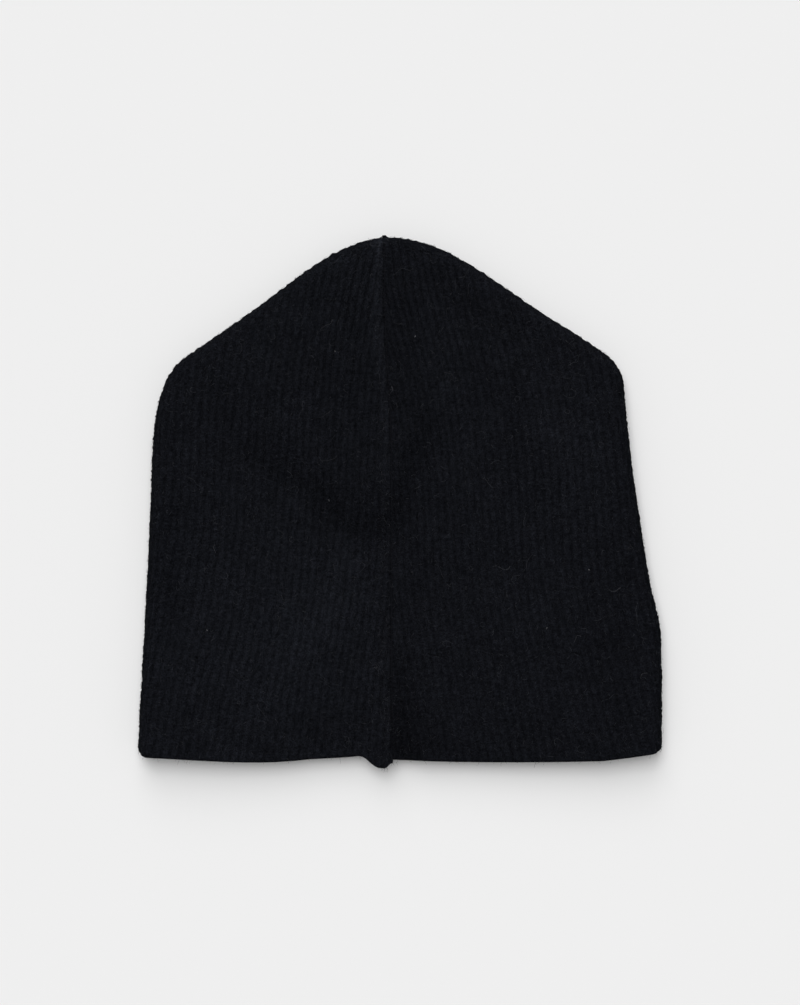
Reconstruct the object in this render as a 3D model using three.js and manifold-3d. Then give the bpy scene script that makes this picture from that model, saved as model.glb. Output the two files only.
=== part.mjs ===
// A rib-knit balaclava lying flat on its front, with its back upwards.
// Millimetres. +X across the back, +Y from the neck hem to the crown, +Z up off the surface.
// Two half panels wrap round the head. Linking seams join them down the centre back, over
// the forehead and down the chin, and a folded rib band trims the face opening underneath.
import * as THREE from "three";
import { mergeVertices } from "three/addons/utils/BufferGeometryUtils.js";
import Module from "manifold-3d";

const wasm = await Module();
wasm.setup();

// The body, lying flat.
const HEM_WIDTH = 300;
const CROWN_HEIGHT = 299.8; // neck hem to crown
const SHOULDER_HEIGHT = 232; // neck hem to where the crown slopes begin
const LAID_THICKNESS = 18; // both layers and the air between them
const FABRIC = 4; // one layer of the rib knit
const EDGE_RADIUS = 8; // outside of the folded sides
const CORNER_RADIUS = 4.5; // the hem's two outer corners

// The hem.
const TAIL_DROP = 4.9; // the seam's rolled end hangs this far below the back hem
const TAIL_X = -10;
const FRONT_HEM_RISE = 2.5; // the front layer's hem is this much shorter

// Seams. A thread stands for one row of linked loops.
const THREAD_WIDTH = 1.4;
const GAP = 0.3; // between pieces that touch
const SEAM_SLOT = THREAD_WIDTH + 2 * GAP;

// The face opening, in the front layer.
const FACE_CENTRE = new THREE.Vector2(-6, 158);
const FACE_HALF_WIDTH = 70;
const FACE_HALF_HEIGHT = 60;
const BAND_WIDTH = 16;
const BAND_THICKNESS = 5;
const BAND_ROUNDING = 1.2;

// The care label, inside the back layer, and the thread knot at the crown.
const LABEL = { width: 24, length: 42, thickness: 0.6, x: -22, top: 56, corner: 1.5 };
const STITCH_ROW = { inset: 2.5, width: 0.9, thickness: 0.5 };
const KNOT_RADIUS = 0.7;

// How far construction shapes run past the body.
const BEYOND = 40;
const CURVE_STEPS = 10;
const OVAL_STEPS = 28;
const ROUNDING_STEPS = 3;

const WOOL_BLACK = 0x121317;
const THREAD_BLACK = 0x1a1b1f;
const LABEL_SATIN = 0x202124;

// The top view's outline, carried straight down to `below` past the hem.
function bodyOutline(below) {
  const half = HEM_WIDTH / 2;
  const outline = new THREE.Shape();
  outline.moveTo(-half, -below);
  outline.lineTo(-half, 8);
  outline.bezierCurveTo(-147.8, 55, -143.4, 120, -142.4, 160);
  outline.bezierCurveTo(-141.9, 200, -137.2, 222, -122, SHOULDER_HEIGHT);
  outline.quadraticCurveTo(-88, 254.3, -61.5, 275);
  outline.bezierCurveTo(-44, 288, -25, CROWN_HEIGHT, -6, CROWN_HEIGHT);
  outline.bezierCurveTo(12, CROWN_HEIGHT, 28, 292, 50, 278);
  outline.lineTo(84, 254.5);
  outline.quadraticCurveTo(103, 243.5, 117.5, SHOULDER_HEIGHT + 1);
  outline.quadraticCurveTo(127, 226.2, 128, 216);
  outline.bezierCurveTo(130, 188, 135.8, 145, 141.7, 110);
  outline.bezierCurveTo(144, 97, 148.3, 84, 149.4, 72);
  outline.lineTo(half, 50);
  outline.lineTo(half, -below);
  outline.closePath();
  return outline;
}

// The centre seam's line in the top view, from below the hem to past the crown.
function seamLine() {
  return new THREE.SplineCurve([
    new THREE.Vector2(-3.6, -BEYOND - 5),
    new THREE.Vector2(-3.9, 6),
    new THREE.Vector2(-5.4, 40),
    new THREE.Vector2(-5.5, 95),
    new THREE.Vector2(-5.4, 150),
    new THREE.Vector2(-6.3, 200),
    new THREE.Vector2(-8.8, 242),
    new THREE.Vector2(-9.8, 275),
    new THREE.Vector2(-8.5, CROWN_HEIGHT + 15),
  ]);
}

// The seam's x at a height above the hem.
function seamX(height) {
  const points = seamLine().getPoints(200);
  return points.find((point) => point.y >= height).x;
}

// The back layer's hem: slightly wavy, round at its corners, with the seam's rolled tail.
function hemRegion() {
  const half = HEM_WIDTH / 2;
  const region = new THREE.Shape();
  region.moveTo(-half - BEYOND, CROWN_HEIGHT + BEYOND);
  region.lineTo(-half - BEYOND, 1.5 + CORNER_RADIUS);
  region.lineTo(-half, 1.5 + CORNER_RADIUS);
  region.quadraticCurveTo(-half, 1.5, -half + CORNER_RADIUS, 1.5);
  region.bezierCurveTo(-112, 0, -82, -3.6, -52, 0.4);
  region.bezierCurveTo(-42, 1, -32, 1.2, TAIL_X - 14, 2.2);
  region.bezierCurveTo(TAIL_X - 8, 2.2, TAIL_X - 7, -TAIL_DROP, TAIL_X, -TAIL_DROP);
  region.bezierCurveTo(TAIL_X + 5, -TAIL_DROP, TAIL_X + 4, 0, TAIL_X + 7, 0);
  region.bezierCurveTo(30, -2.2, 85, -1.4, 116, -0.4);
  region.quadraticCurveTo(132, 1.4, half - CORNER_RADIUS, 3.6);
  region.quadraticCurveTo(half, 4, half, 4 + CORNER_RADIUS);
  region.lineTo(half + BEYOND, 4 + CORNER_RADIUS);
  region.lineTo(half + BEYOND, CROWN_HEIGHT + BEYOND);
  region.closePath();
  return region;
}

// The face opening's oval, moved out by `margin`.
function faceOval(margin) {
  const shape = new THREE.Shape();
  const halfWidth = FACE_HALF_WIDTH + margin;
  const halfHeight = FACE_HALF_HEIGHT + margin;
  shape.absellipse(FACE_CENTRE.x, FACE_CENTRE.y, halfWidth, halfHeight, 0, 2 * Math.PI);
  return shape;
}

function rectangle(x0, y0, x1, y1) {
  const shape = new THREE.Shape();
  shape.moveTo(x0, y0);
  shape.lineTo(x1, y0);
  shape.lineTo(x1, y1);
  shape.lineTo(x0, y1);
  shape.closePath();
  return shape;
}

// A three.js geometry as a manifold-3d solid.
function toSolid(geometry) {
  const bare = geometry.clone();
  bare.deleteAttribute("normal");
  bare.deleteAttribute("uv");
  const merged = mergeVertices(bare, 1e-4);
  return new wasm.Manifold(
    new wasm.Mesh({
      numProp: 3,
      vertProperties: new Float32Array(merged.attributes.position.array),
      triVerts: new Uint32Array(merged.index.array),
    }),
  );
}

// A manifold-3d solid as a three.js geometry with flat-shaded faces.
function toGeometry(solid) {
  const mesh = solid.getMesh();
  const geometry = new THREE.BufferGeometry();
  geometry.setAttribute("position", new THREE.BufferAttribute(mesh.vertProperties, 3));
  geometry.setIndex(new THREE.BufferAttribute(mesh.triVerts, 1));
  const flat = geometry.toNonIndexed();
  flat.computeVertexNormals();
  return flat;
}

// A plain prism of an outline between two heights.
function prism(shape, bottom, top, steps = CURVE_STEPS) {
  const geometry = new THREE.ExtrudeGeometry(shape, {
    depth: top - bottom,
    bevelEnabled: false,
    curveSegments: steps,
  });
  return toSolid(geometry.translate(0, 0, bottom));
}

// A slab with round edges whose widest outline is the given one moved in by `inset`.
function roundedSlab(shape, bottom, top, radius, inset, steps = CURVE_STEPS) {
  const geometry = new THREE.ExtrudeGeometry(shape, {
    depth: top - bottom - 2 * radius,
    bevelThickness: radius,
    bevelSize: radius,
    bevelOffset: -inset - radius,
    bevelSegments: ROUNDING_STEPS,
    curveSegments: steps,
  });
  return toSolid(geometry.translate(0, 0, bottom + radius));
}

// The upright wall of the given width that follows the centre seam.
function seamWall(width) {
  const line = seamLine();
  const steps = 24;
  const left = [];
  const right = [];
  for (let i = 0; i <= steps; i += 1) {
    const point = line.getPoint(i / steps);
    const along = line.getTangent(i / steps);
    const across = new THREE.Vector2(along.y, -along.x).multiplyScalar(width / 2);
    right.push(point.clone().add(across));
    left.push(point.clone().sub(across));
  }
  return prism(new THREE.Shape(right.concat(left.reverse())), -BEYOND, LAID_THICKNESS + BEYOND);
}

// The hollow shell of both layers, open at the hem and at the face.
function bodyShell() {
  const outer = roundedSlab(bodyOutline(BEYOND / 2), 0, LAID_THICKNESS, EDGE_RADIUS, 0);
  const hollow = roundedSlab(
    bodyOutline(BEYOND),
    FABRIC,
    LAID_THICKNESS - FABRIC,
    EDGE_RADIUS - FABRIC,
    FABRIC,
  );
  const underHem = prism(
    rectangle(-HEM_WIDTH, -2 * BEYOND, HEM_WIDTH, FRONT_HEM_RISE),
    -BEYOND,
    LAID_THICKNESS / 2,
  );
  const middle = LAID_THICKNESS / 2;
  const faceHole = prism(faceOval(BAND_WIDTH + SEAM_SLOT), -BEYOND, middle, OVAL_STEPS);
  const aboveHem = prism(hemRegion(), -BEYOND, LAID_THICKNESS + BEYOND);
  return outer.subtract(hollow).intersect(aboveHem).subtract(underHem).subtract(faceHole);
}

// The two panels that the seam's slot leaves, left one first.
function halfPanels(shell) {
  const middleX = (solid) => {
    const box = solid.boundingBox();
    return (box.min[0] + box.max[0]) / 2;
  };
  const halves = shell.subtract(seamWall(SEAM_SLOT)).decompose();
  return halves.sort((a, b) => middleX(a) - middleX(b));
}

// The seam's thread, cut into the back row, the forehead row and the chin row.
function seamThreads(shell) {
  const wide = HEM_WIDTH;
  const middle = LAID_THICKNESS / 2;
  const thread = shell.intersect(seamWall(THREAD_WIDTH));
  const backHalf = prism(
    rectangle(-wide, -BEYOND, wide, CROWN_HEIGHT + BEYOND),
    middle,
    LAID_THICKNESS + BEYOND,
  );
  const foreheadHalf = prism(
    rectangle(-wide, FACE_CENTRE.y, wide, CROWN_HEIGHT + BEYOND),
    -BEYOND,
    middle - GAP,
  );
  const chinHalf = prism(rectangle(-wide, -BEYOND, wide, FACE_CENTRE.y), -BEYOND, middle - GAP);
  return {
    back: thread.intersect(backHalf),
    forehead: thread.intersect(foreheadHalf),
    chin: thread.intersect(chinHalf),
  };
}

// The slot across the band where its two ends meet, under the chin.
function bandJoinSlot(width) {
  const bottom = FACE_CENTRE.y - FACE_HALF_HEIGHT - BAND_WIDTH;
  const x = seamX(bottom);
  return rectangle(x - width / 2, bottom - SEAM_SLOT, x + width / 2, bottom + 2 * BAND_WIDTH);
}

// The folded rib band round the face opening, and the thread that closes its ends.
function faceBand() {
  const outline = faceOval(BAND_WIDTH);
  outline.holes.push(faceOval(0));
  const ring = roundedSlab(outline, 0, BAND_THICKNESS, BAND_ROUNDING, 0, OVAL_STEPS);
  const slot = prism(bandJoinSlot(SEAM_SLOT), -BEYOND, BEYOND);
  const joinThread = prism(bandJoinSlot(THREAD_WIDTH), GAP, BAND_THICKNESS - GAP);
  return {
    band: ring.subtract(slot),
    join: ring.intersect(joinThread),
  };
}

// The ring of linked loops between the band and the panels.
function bandThread() {
  const outline = faceOval(BAND_WIDTH + GAP + THREAD_WIDTH);
  outline.holes.push(faceOval(BAND_WIDTH + GAP));
  return prism(outline, GAP, FABRIC - GAP, OVAL_STEPS);
}

// The blank care label, hanging inside the back layer from a row of stitches at its top.
function careLabel() {
  const top = LAID_THICKNESS - FABRIC - GAP;
  const left = LABEL.x - LABEL.width;
  const bottom = LABEL.top - LABEL.length;
  const shape = new THREE.Shape();
  shape.moveTo(left, LABEL.top);
  shape.lineTo(left, bottom + LABEL.corner);
  shape.quadraticCurveTo(left, bottom, left + LABEL.corner, bottom);
  shape.lineTo(LABEL.x - LABEL.corner, bottom);
  shape.quadraticCurveTo(LABEL.x, bottom, LABEL.x, bottom + LABEL.corner);
  shape.lineTo(LABEL.x, LABEL.top);
  shape.closePath();
  return prism(shape, top - LABEL.thickness, top);
}

function labelStitches() {
  const top = LAID_THICKNESS - FABRIC - LABEL.thickness - 2 * GAP;
  const y = LABEL.top - STITCH_ROW.inset;
  const row = rectangle(
    LABEL.x - LABEL.width + STITCH_ROW.inset,
    y - STITCH_ROW.width,
    LABEL.x - STITCH_ROW.inset,
    y,
  );
  return prism(row, top - STITCH_ROW.thickness, top);
}

// The knot that ends the back seam's thread, standing just proud of the crown.
function crownKnot() {
  const x = seamX(CROWN_HEIGHT);
  const knot = new THREE.SphereGeometry(KNOT_RADIUS, 12, 8);
  knot.translate(x, CROWN_HEIGHT + GAP + KNOT_RADIUS, LAID_THICKNESS / 2);
  return toSolid(knot);
}

function material(color, roughness) {
  return new THREE.MeshStandardMaterial({ color, roughness, metalness: 0 });
}

const wool = material(WOOL_BLACK, 1);
const thread = material(THREAD_BLACK, 0.85);
const satin = material(LABEL_SATIN, 0.6);

const shell = bodyShell();
const [leftPanel, rightPanel] = halfPanels(shell);
const threads = seamThreads(shell);
const band = faceBand();

const balaclava = new THREE.Group();
// The origin is under the middle of the whole object.
balaclava.position.y = -(CROWN_HEIGHT + GAP + 2 * KNOT_RADIUS - TAIL_DROP) / 2;

function addPiece(name, solid, pieceMaterial) {
  const mesh = new THREE.Mesh(toGeometry(solid), pieceMaterial);
  mesh.name = name;
  balaclava.add(mesh);
}

addPiece("left_panel", leftPanel, wool);
addPiece("right_panel", rightPanel, wool);
addPiece("centre_back_seam_thread", threads.back, thread);
addPiece("forehead_seam_thread", threads.forehead, thread);
addPiece("chin_seam_thread", threads.chin, thread);
addPiece("face_band", band.band, wool);
addPiece("face_band_seam_thread", bandThread(), thread);
addPiece("face_band_join_thread", band.join, thread);
addPiece("crown_thread_knot", crownKnot(), thread);
addPiece("care_label", careLabel(), satin);
addPiece("care_label_stitches", labelStitches(), thread);

export default balaclava;
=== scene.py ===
"""A rib-knit wool balaclava lying flat on its front, with its back upwards.

Each half panel is one thick knitted cloth, made as two pieces that meet along the folded
side: the back layer, which lies on top, and the front layer underneath. Their outlines are
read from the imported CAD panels. Lengths are in millimetres until a mesh is made.
"""
import math

import bpy
import numpy as np
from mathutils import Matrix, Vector


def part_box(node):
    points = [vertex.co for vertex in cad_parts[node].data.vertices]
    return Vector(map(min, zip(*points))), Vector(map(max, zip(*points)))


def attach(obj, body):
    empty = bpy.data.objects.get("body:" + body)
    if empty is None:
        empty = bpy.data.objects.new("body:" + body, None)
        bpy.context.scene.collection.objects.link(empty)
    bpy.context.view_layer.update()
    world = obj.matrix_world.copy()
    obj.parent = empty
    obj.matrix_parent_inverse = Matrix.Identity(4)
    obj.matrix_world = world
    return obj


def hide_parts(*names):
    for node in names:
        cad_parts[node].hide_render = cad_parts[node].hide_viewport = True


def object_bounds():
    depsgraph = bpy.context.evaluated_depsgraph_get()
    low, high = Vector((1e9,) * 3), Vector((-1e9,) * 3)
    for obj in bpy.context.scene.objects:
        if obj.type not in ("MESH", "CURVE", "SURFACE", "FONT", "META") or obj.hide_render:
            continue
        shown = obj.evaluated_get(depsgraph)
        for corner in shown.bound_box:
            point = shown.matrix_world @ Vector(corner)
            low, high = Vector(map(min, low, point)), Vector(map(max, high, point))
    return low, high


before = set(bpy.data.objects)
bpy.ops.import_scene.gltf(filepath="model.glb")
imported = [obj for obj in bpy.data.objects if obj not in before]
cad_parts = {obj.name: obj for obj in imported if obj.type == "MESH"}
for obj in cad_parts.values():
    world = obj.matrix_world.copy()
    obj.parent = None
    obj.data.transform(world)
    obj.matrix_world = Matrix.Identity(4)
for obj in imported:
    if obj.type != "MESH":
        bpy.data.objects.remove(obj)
CAD_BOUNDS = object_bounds()

MM = 0.001
LEFT, RIGHT = -1, 1
RNG = np.random.default_rng(41)

# The knit.
FABRIC = 4.0  # thickness of one layer
RIB_DEPTH = 1.1  # groove between two ribs
STITCH_DEPTH = 0.4
COURSE = 2.6  # height of one row of stitches
ROW_STEP = COURSE / 3
NARROW_RIB = 3.95  # rib pitch beside the centre seam
RIB_WIDENING = 1 / 140  # how much the pitch grows for each mm away from it
GRAIN = 0.15  # roughness of the fuzzy surface
PAINTED_FOLD_SHADE = 0.3  # painted shade: how much darker the wool is coloured where it turns down at the folds
PROUD = 0.4  # how far the ribs' tops stand out at the folds
YARN = 0.3  # radius of the yarn in the linked seams
KNOT_YARN = 0.42  # radius of the felted yarn in the crown's knot
KNOT_SINKS = 0.5  # how far the knot settles into the wool at the crown

# The way it lies.
TAIL_DROP = 4.9  # the seam's rolled end, below the hem
WAIST = 150.0  # height above the hem where the ribs stand upright
SHOULDER = 228.0  # height where the folded side turns into the crown's slope
HEM_FUZZ = 0.6  # how far inside the CAD's hem the knit ends, to leave its fibres room
HEM_ROUND = 1.7  # how far the hem's rounding reaches into the panel
SEAM_ROUND = {LEFT: 1.5, RIGHT: 0.7}  # the left panel's edge is the fuller one
CROWN_ZONE = 12.0  # how far below the crown the rows of points start to crowd
EDGE_STEPS = (0.0, 0.25, 0.7, 1.3, 2.1, 3.0)  # the first rows and columns beside a cut edge
TOUCH = -0.1  # half the gap between the panels at the seam: they press into each other

# The face band.
BAND_RIBS = 112
BAND_WIDTH = 16.0
BAND_THICKNESS = 4.6

# How finely each layer is meshed: row step, flat columns and columns round the fold.
BACK_GRID = (ROW_STEP, 186, 14)
FRONT_GRID = (1.7, 84, 13)

# Loose fibres: how many lie on each back layer, on each front layer's fold, and at the seam.
BACK_FIBRES = 12000
FOLD_FIBRES = 1800
SEAM_FIBRES = {LEFT: 1700, RIGHT: 500}
# Hairs and specks of lint: how many lie on the whole garment.
CURLY_FIBRES = 170
BRIGHT_HAIRS = 14
LINT = 6

# Colours, as linear red, green and blue, with an alpha of 1 where a socket takes four.
WOOL_TINT = (0.0056, 0.0062, 0.0082)
YARN_TINT = (0.0064, 0.0068, 0.0088)
SEWING_TINT = (0.01, 0.01, 0.011)
SATIN_TINT = (0.012, 0.012, 0.013)
FIBRES = ((0.010, 0.0105, 0.0135, 1), (0.024, 0.025, 0.030, 1), (0.055, 0.057, 0.065, 1))
HAIR_COLOUR = (0.1, 0.1, 0.11, 1)
LINT_COLOUR = (0.2, 0.2, 0.21, 1)
FLOOR_COLOUR = (0.817, 0.817, 0.817, 1)

LOW, HIGH = (np.array(corner) / MM for corner in CAD_BOUNDS)
HEM_Y = LOW[1] + TAIL_DROP
MID_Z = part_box("left_panel")[1].z / MM / 2
FOLD = 5.6  # how far the folded sides' rounding reaches in plan
SLOT_REACH = 1.2  # how far the seam's slot disturbs the CAD panels' hem


# ---------------------------------------------------------------- reading the CAD outlines


def node_edges(node):
    """Both end points of each edge of a CAD node."""
    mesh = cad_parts[node].data
    points = np.empty(3 * len(mesh.vertices))
    mesh.vertices.foreach_get("co", points)
    points = points.reshape(-1, 3) / MM
    ends = np.empty(2 * len(mesh.edges), dtype=np.int32)
    mesh.edges.foreach_get("vertices", ends)
    ends = ends.reshape(-1, 2)
    return points[ends[:, 0]], points[ends[:, 1]]


def crossings(edges, axis, level):
    """The points where a node's edges cross a plane square to an axis."""
    start, end = edges
    hit = (start[:, axis] - level) * (end[:, axis] - level) < 0
    share = (level - start[hit, axis]) / (end[hit, axis] - start[hit, axis])
    return start[hit] + share[:, None] * (end[hit] - start[hit])


def smoothed(values, reach):
    """A running average with soft ends, over `reach` samples each way."""
    weights = np.hanning(2 * reach + 3)[1:-1]
    padded = np.concatenate([np.full(reach, values[0]), values, np.full(reach, values[-1])])
    return np.convolve(padded, weights / weights.sum(), "valid")


class Outline:
    """Where one panel's folded side, hem and seam run, as functions of x or of height."""

    def __init__(self, node, side):
        edges = node_edges(node)
        self.side = side
        self.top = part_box(node)[1].y / MM - HEM_Y
        straight = np.arange(9.0, self.top - 8, 1.0)
        curved = self.top - 8 * (1 - np.sin(np.linspace(0.02, 0.499 * math.pi, 40)))
        self.levels = np.concatenate([straight, curved])
        fold = [side * (side * crossings(edges, 1, HEM_Y + h)[:, 0]).max() for h in self.levels]
        fold = np.array(fold)
        fold[: len(straight)] = smoothed(fold[: len(straight)], 4)
        self.fold = fold
        self.columns = np.arange(LOW[0] + 0.05, HIGH[0], 0.5)
        self.back_hem = self.lowest(edges, above=True)
        self.front_hem = self.lowest(edges, above=False)

    def lowest(self, edges, above):
        """The hem of the upper or the lower layer, as height over the plain hem line."""
        heights = np.zeros(len(self.columns))
        for i, x in enumerate(self.columns):
            points = crossings(edges, 0, x)
            points = points[(points[:, 2] > MID_Z) == above]
            heights[i] = points[:, 1].min() - HEM_Y if len(points) else np.nan
        clear = self.side * (self.columns - SEAM_MIDDLES[0]) > SLOT_REACH
        known = clear & ~np.isnan(heights)
        heights = np.interp(self.columns, self.columns[known], heights[known])
        return smoothed(heights, 2)

    def fold_x(self, height):
        return np.interp(height, self.levels, self.fold)

    def fold_slope(self, height):
        """Change of the fold's x for each mm of height."""
        step = 2.0
        top = self.top - 0.02
        upper = np.minimum(height + step, top)
        lower = np.minimum(height - step, top - 0.05)
        return (self.fold_x(upper) - self.fold_x(lower)) / (upper - lower)

    def rise(self, x, h, beside):
        """How far a layer has risen from its folded edge: 0 on the edge, 1 past the rounding.

        `beside` is the distance to the fold on the same row.
        """
        above = np.interp(self.side * x, self.side * self.fold[::-1], self.levels[::-1]) - h
        squares = np.maximum(above, 1e-6) ** -2.0 + np.maximum(beside, 1e-6) ** -2.0
        share = 1 - np.clip(squares**-0.5 / FOLD, 0, 1)
        return np.sqrt(1 - share**2)

    def hem(self, x, front):
        return np.interp(x, self.columns, self.front_hem if front else self.back_hem)


def seam_centre():
    """The centre seam's x at a run of heights."""
    edges = node_edges("centre_back_seam_thread")
    heights = np.arange(2.0, HIGH[1] - HEM_Y - 6, 4.0)
    middles = []
    for h in heights:
        x = crossings(edges, 1, HEM_Y + h)[:, 0]
        middles.append((x.min() + x.max()) / 2)
    return heights, smoothed(np.array(middles), 2)


def opening_measures():
    """Centre x, centre height and half sizes of the panels' cut edge round the face."""
    low, high = (np.array(corner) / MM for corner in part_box("face_band_seam_thread"))
    middle = (low + high) / 2
    return middle[0], middle[1] - HEM_Y, (high - low)[:2] / 2


SEAM_HEIGHTS, SEAM_MIDDLES = seam_centre()
OUTLINES = {LEFT: Outline("left_panel", LEFT), RIGHT: Outline("right_panel", RIGHT)}
FACE_X, FACE_HEIGHT, FACE_REACH = opening_measures()


def seam_x(height):
    return np.interp(height, SEAM_HEIGHTS, SEAM_MIDDLES)


# ---------------------------------------------------------------- shapes of the cloth


def bump(x, h, at, reach, height, turn=0.0):
    """A soft swelling, or a dent where its height is negative, turned by some degrees."""
    cos, sin = math.cos(math.radians(turn)), math.sin(math.radians(turn))
    across = (x - at[0]) * cos + (h - at[1]) * sin
    along = (h - at[1]) * cos - (x - at[0]) * sin
    return height * np.exp(-((across / reach[0]) ** 2) - (along / reach[1]) ** 2)


def furrow(x, h, start, end, width, depth):
    """A soft furrow along a straight line between two points, or a ridge if it is negative."""
    start, end = np.array(start), np.array(end)
    along = end - start
    share = ((x - start[0]) * along[0] + (h - start[1]) * along[1]) / (along @ along)
    share = np.clip(share, 0, 1)
    away = (x - start[0] - share * along[0]) ** 2 + (h - start[1] - share * along[1]) ** 2
    return -depth * np.exp(-away / width**2)


def relief(x, h):
    """How the upper layer's height differs from a flat top."""
    sag = -2.4 * np.exp(-((x / 105) ** 4)) - 1.6 * np.exp(-((x / 95) ** 4) - (h / 60) ** 2)
    # the valley's two arms, which meet at the seam, and a shallow one near the crown
    folds = furrow(x, h, (-92, 188), (-13, 128), 13, 2.6)
    folds += furrow(x, h, (18, 186), (-6, 128), 10, 2.2)
    folds += furrow(x, h, (60, 236), (20, 262), 14, 1.3)
    # where the cloth lies fuller, and a dent at the hem
    swells = bump(x, h, (-46, 80), (26, 36), 3.0, turn=-25)
    swells += bump(x, h, (-90, 60), (38, 40), 1.4)
    swells += bump(x, h, (84, 180), (24, 36), 2.0, turn=15)
    swells += bump(x, h, (-72, 222), (34, 18), 1.4)
    swells += bump(x, h, (62, 60), (46, 30), 1.0)
    swells += bump(x, h, (-45, 14), (18, 14), -1.6)
    pocket = bump(x, h, (4, 10), (9, 30), -3.0)  # right of the seam's end
    waves = 0.4 * np.sin(x / 17 + h / 41) * np.sin(h / 23 - x / 60)
    waves += 0.3 * np.sin(x / 9.5 - h / 70 + 1.3) * np.sin(h / 31 + 0.7)
    return sag + folds + swells + pocket + waves


def painted_light_and_nap(x, h):
    """Painted light and shade: how much lighter or darker the upper layer is coloured where its
    folds, swellings and seam would catch or lose the light, with a slow wandering by the way its
    fibres lie.
    """
    seam = x - seam_x(h)
    left = 1 / (1 + np.exp(seam / 0.8))
    upper = 1 / (1 + np.exp((150 - h) / 6))
    # painted shade in the valley's two arms and the hollow between them
    tone = furrow(x, h, (-80, 178), (-20, 131), 8.5, 0.25)
    tone += bump(x, h, (-30, 142), (24, 16), -0.11)
    tone += furrow(x, h, (16, 192), (-9, 126), 7.5, 0.15)
    tone += bump(x, h, (0, 152), (10, 26), -0.1)
    # painted light on the full left panel, and painted shade in the pocket right of the seam's
    # end
    tone += bump(x, h, (-42, 80), (17, 38), 0.24, turn=-35) * left
    tone += bump(x, h, (-80, 60), (62, 62), 0.19) * left
    tone += bump(x, h, (4, 10), (11, 24), -0.36) * (1 - left)
    tone += bump(x, h, (0, 34), (6, 26), -0.2) * (1 - left)
    # painted light on the right panel's swellings
    tone += bump(x, h, (88, 187), (9, 24), 0.18, turn=20)
    tone += bump(x, h, (104, 168), (14, 34), 0.1)
    # painted shade in darker patches, from the crown down to the hem
    tone += bump(x, h, (66, 205), (5, 24), -0.12)
    tone += bump(x, h, (39, 260), (11, 10), -0.17, turn=-35)
    tone += bump(x, h, (-36, 236), (14, 44), -0.13) * left
    tone += bump(x, h, (3, 230), (12, 70), -0.1) * (1 - left)
    tone += bump(x, h, (-50, 20), (17, 12), -0.15)
    tone += bump(x, h, (-130, 108), (6, 34), -0.14)
    tone += bump(x, h, (126, 84), (16, 56), -0.14)
    tone += bump(x, h, (60, 6), (80, 13), -0.12)
    # painted highlights along the crown's slopes and on the seam's ridge, and a painted shadow
    # beside the seam
    tone += furrow(x, h, (-112, 239), (-52, 280), 7, -0.12)
    tone += furrow(x, h, (-50, 281), (-14, 296), 8, -0.24)
    tone += furrow(x, h, (24, 291), (104, 241), 6, -0.15)
    spread = np.exp(-(((h - 258) / 22) ** 2))
    painted_crest_highlight = np.exp(-(((seam + 1.7 + 2.4 * spread) / (3 + spread)) ** 2))
    painted_crest_highlight = painted_crest_highlight * (0.37 + 0.9 * np.exp(-(((h - 300) / 14) ** 2)))
    shadow = 0.15 * np.exp(-(((seam - 1.6) / 2.4) ** 2))
    slow = 0.05 * np.sin(x / 8.3 + 1.7 * np.sin(h / 19)) * np.sin(h / 11.1 + 1.4 * np.sin(x / 23))
    return 1 + tone + upper * (painted_crest_highlight - shadow) + slow


def seam_ridge(off, h, side):
    """The turned edge of a panel beside the centre seam: `off` is the distance from it."""
    if side == LEFT:
        lift = 1.2 + 1.4 * np.exp(-((h / 34) ** 2))
        return lift * np.exp(-(((off - 2.4) / 2.4) ** 2))
    return 0.5 * np.exp(-(((off - 4.5) / 2.5) ** 2)) - 0.5 * np.exp(-((off / 2.0) ** 2))


def wobble(x, h):
    """Small wandering of the ribs, in ribs."""
    slow = 0.17 * np.sin(h / 19 + x / 33) * np.sin(x / 27 - h / 55)
    return slow + 0.06 * np.sin(h / 5.3 + x / 3.1)


def rib_place(across, h):
    """Counts ribs outwards from the seam. `across` is the distance round the panel."""
    up = h - WAIST
    turn = 45.0
    lean = np.where(up > 0, 0.2, 0.14)
    shift = 0.03 * up + lean * (up - turn * np.arctan(up / turn))
    spread = 1 + 0.1 * np.clip(-up / WAIST, 0, 1) ** 1.5
    return np.log1p((across + shift) / spread * RIB_WIDENING / NARROW_RIB) / RIB_WIDENING


def knit(place, rows):
    """Rib and stitch heights, each from 0 in a groove to 1 on top."""
    rib = np.round(place)
    off = 2 * np.abs(place - rib)
    ridge = 1 - off**2.4
    uneven = 0.35 * np.sin(rib * 12.9898) + 0.18 * np.sin(rib * 4.1 + rows / 7.0)
    stitch = 0.5 + 0.5 * np.cos(2 * math.pi * (rows - 0.45 * off + uneven))
    leg = 1 - 0.35 * np.exp(-((off / 0.22) ** 2))
    return ridge, stitch * leg


def edge_curl(distance, reach):
    """1 inside the panel, falling to 0 round its cut edge."""
    near = np.clip(distance / reach, 0, 1)
    return np.sqrt(1 - (1 - near) ** 2)


def row_heights(top, step):
    """Rows from the hem up, close together at the hem and round the crown."""
    plain = np.arange(EDGE_STEPS[-1] + step, top - CROWN_ZONE, step)
    cap = top - CROWN_ZONE * (1 - np.sin(np.linspace(0, math.pi / 2, 20)))
    return np.concatenate([EDGE_STEPS, plain, cap])


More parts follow.
